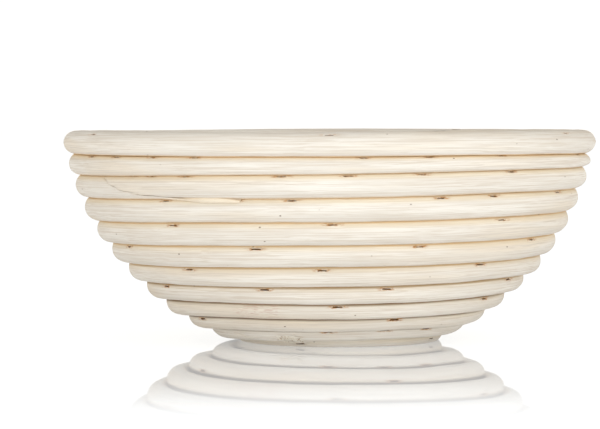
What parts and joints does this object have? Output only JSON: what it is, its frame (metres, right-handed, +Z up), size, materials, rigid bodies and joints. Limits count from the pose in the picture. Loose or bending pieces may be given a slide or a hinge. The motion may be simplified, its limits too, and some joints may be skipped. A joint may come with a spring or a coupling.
{
  "type": "proofing basket",
  "caption": "Round bowl-shaped proofing basket wound from rattan cane, with a flat floor and a level rim hoop, that holds bread dough while it rises.",
  "frame": {"origin": "middle of the floor, on the table", "axes": "+Z up, out of the mouth; -Y towards the viewer of the picture; the cane climbs anticlockwise seen from above"},
  "size_m": [0.22, 0.22, 0.0875],
  "materials": {
    "cane": "natural rattan core, unvarnished, matte",
    "staple_wire": "dull bronze-coloured wire"
  },
  "bodies": {
    "root": {"rim_hoop": "cane", "wall_cane_upper": "cane", "wall_cane_lower": "cane", "base_coil": "cane", "staple_01": "staple_wire", "staple_02": "staple_wire", "staple_03": "staple_wire", "staple_04": "staple_wire", "staple_05": "staple_wire", "staple_06": "staple_wire", "staple_07": "staple_wire", "staple_08": "staple_wire", "staple_09": "staple_wire", "staple_10": "staple_wire", "staple_11": "staple_wire", "staple_12": "staple_wire", "staple_13": "staple_wire", "staple_14": "staple_wire", "staple_15": "staple_wire", "staple_16": "staple_wire", "staple_17": "staple_wire", "staple_18": "staple_wire", "staple_19": "staple_wire", "staple_20": "staple_wire", "staple_21": "staple_wire", "staple_22": "staple_wire", "staple_23": "staple_wire", "staple_24": "staple_wire", "staple_25": "staple_wire", "staple_26": "staple_wire", "staple_27": "staple_wire", "staple_28": "staple_wire", "staple_29": "staple_wire", "staple_30": "staple_wire", "staple_31": "staple_wire", "staple_32": "staple_wire", "staple_33": "staple_wire", "staple_34": "staple_wire", "staple_35": "staple_wire", "staple_36": "staple_wire", "staple_37": "staple_wire", "staple_38": "staple_wire", "staple_39": "staple_wire", "staple_40": "staple_wire", "staple_41": "staple_wire", "staple_42": "staple_wire", "staple_43": "staple_wire", "staple_44": "staple_wire", "staple_45": "staple_wire", "staple_46": "staple_wire", "staple_47": "staple_wire", "staple_48": "staple_wire", "staple_49": "staple_wire", "staple_50": "staple_wire", "staple_51": "staple_wire", "staple_52": "staple_wire", "staple_53": "staple_wire", "staple_54": "staple_wire"}
  },
  "joints": []
}
